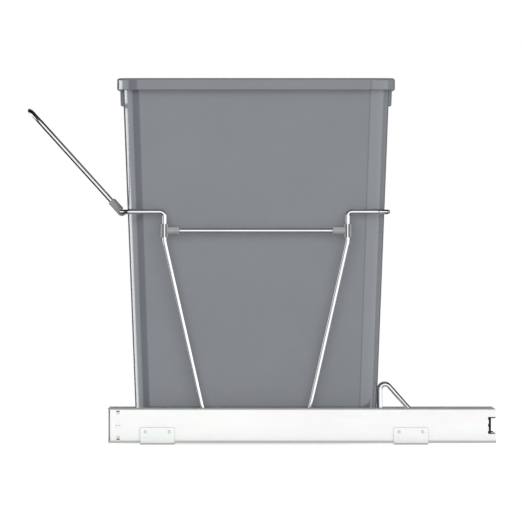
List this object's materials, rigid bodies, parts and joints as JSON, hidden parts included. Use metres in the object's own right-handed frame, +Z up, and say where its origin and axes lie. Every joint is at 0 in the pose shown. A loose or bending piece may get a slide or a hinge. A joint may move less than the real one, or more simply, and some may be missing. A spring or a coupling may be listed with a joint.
{
  "type": "pull-out waste container unit",
  "caption": "Waste container in a chromed wire carriage on full-extension slides that screw to a cabinet floor, with a fold-down wire handle at the front.",
  "frame": {"origin": "on the cabinet floor, in the middle of the four floor screws", "axes": "+X right seen from the front, +Y to the back of the cabinet, +Z up; the tray pulls out to -Y"},
  "size_m": [0.271, 0.614, 0.4798],
  "materials": {
    "zinc_steel": "bright zinc plate",
    "strap_steel": "bright plated",
    "rivet_steel": "bright plated",
    "cage_steel": "plain rolled strip",
    "ball_steel": "polished steel",
    "chrome_wire": "bright chrome plate",
    "clip_plastic": "moulded, satin",
    "container_plastic": "moulded, fine satin"
  },
  "bodies": {
    "cabinet_side": {"outer_member_left": "zinc_steel", "outer_member_right": "zinc_steel", "bracket_front_left": "zinc_steel", "bracket_front_right": "zinc_steel", "bracket_rear_left": "zinc_steel", "bracket_rear_right": "zinc_steel", "bracket_rivets": "rivet_steel"},
    "carriage": {"drawer_member_left": "zinc_steel", "drawer_member_right": "zinc_steel", "side_strap_left": "strap_steel", "side_strap_right": "strap_steel", "strap_rivets": "rivet_steel", "base_wire": "chrome_wire", "cross_wire_front": "chrome_wire", "cross_wire_middle": "chrome_wire", "cross_wire_rear": "chrome_wire", "floor_wire_1": "chrome_wire", "floor_wire_2": "chrome_wire", "floor_wire_3": "chrome_wire", "floor_wire_4": "chrome_wire", "front_lip_wire": "chrome_wire", "front_loop": "chrome_wire", "rear_loop": "chrome_wire", "spreader_bar_left": "chrome_wire", "spreader_bar_right": "chrome_wire", "bar_clip_front_left": "clip_plastic", "bar_clip_front_right": "clip_plastic", "bar_clip_rear_left": "clip_plastic", "bar_clip_rear_right": "clip_plastic"},
    "handle": {"handle_wire": "chrome_wire", "handle_clip_left": "clip_plastic", "handle_clip_right": "clip_plastic"},
    "container": {"waste_container": "container_plastic"},
    "middle_left": {"middle_member_left": "zinc_steel"},
    "outer_race_left": {"outer_cage_left": "cage_steel", "outer_balls_left": "ball_steel"},
    "inner_race_left": {"inner_cage_left": "cage_steel", "inner_balls_left": "ball_steel"},
    "middle_right": {"middle_member_right": "zinc_steel"},
    "outer_race_right": {"outer_cage_right": "cage_steel", "outer_balls_right": "ball_steel"},
    "inner_race_right": {"inner_cage_right": "cage_steel", "inner_balls_right": "ball_steel"}
  },
  "joints": [
    {"name": "tray_slide", "type": "slide", "parent": "cabinet_side", "child": "carriage", "axis": [0, -1, 0], "range_m": [0, 0.5]},
    {"name": "middle_slide_left", "type": "slide", "parent": "cabinet_side", "child": "middle_left", "axis": [0, -1, 0], "range_m": [0, 0.25]},
    {"name": "outer_race_slide_left", "type": "slide", "parent": "cabinet_side", "child": "outer_race_left", "axis": [0, -1, 0], "range_m": [0, 0.125]},
    {"name": "inner_race_slide_left", "type": "slide", "parent": "cabinet_side", "child": "inner_race_left", "axis": [0, -1, 0], "range_m": [0, 0.375]},
    {"name": "middle_slide_right", "type": "slide", "parent": "cabinet_side", "child": "middle_right", "axis": [0, -1, 0], "range_m": [0, 0.25]},
    {"name": "outer_race_slide_right", "type": "slide", "parent": "cabinet_side", "child": "outer_race_right", "axis": [0, -1, 0], "range_m": [0, 0.125]},
    {"name": "inner_race_slide_right", "type": "slide", "parent": "cabinet_side", "child": "inner_race_right", "axis": [0, -1, 0], "range_m": [0, 0.375]},
    {"name": "handle_pivot", "type": "hinge", "parent": "carriage", "child": "handle", "pos_m": [0, -0.21368, 0.3047], "axis": [1, 0, 0], "range_deg": [-38.5, 137.9]},
    {"name": "container_lift", "type": "slide", "parent": "carriage", "child": "container", "axis": [0, 0, 1], "range_m": [0, 0.45]}
  ],
  "couplings": [
    {"joint": "middle_slide_left", "follows": "tray_slide", "ratio": 0.5},
    {"joint": "outer_race_slide_left", "follows": "tray_slide", "ratio": 0.25},
    {"joint": "inner_race_slide_left", "follows": "tray_slide", "ratio": 0.75},
    {"joint": "middle_slide_right", "follows": "tray_slide", "ratio": 0.5},
    {"joint": "outer_race_slide_right", "follows": "tray_slide", "ratio": 0.25},
    {"joint": "inner_race_slide_right", "follows": "tray_slide", "ratio": 0.75}
  ]
}
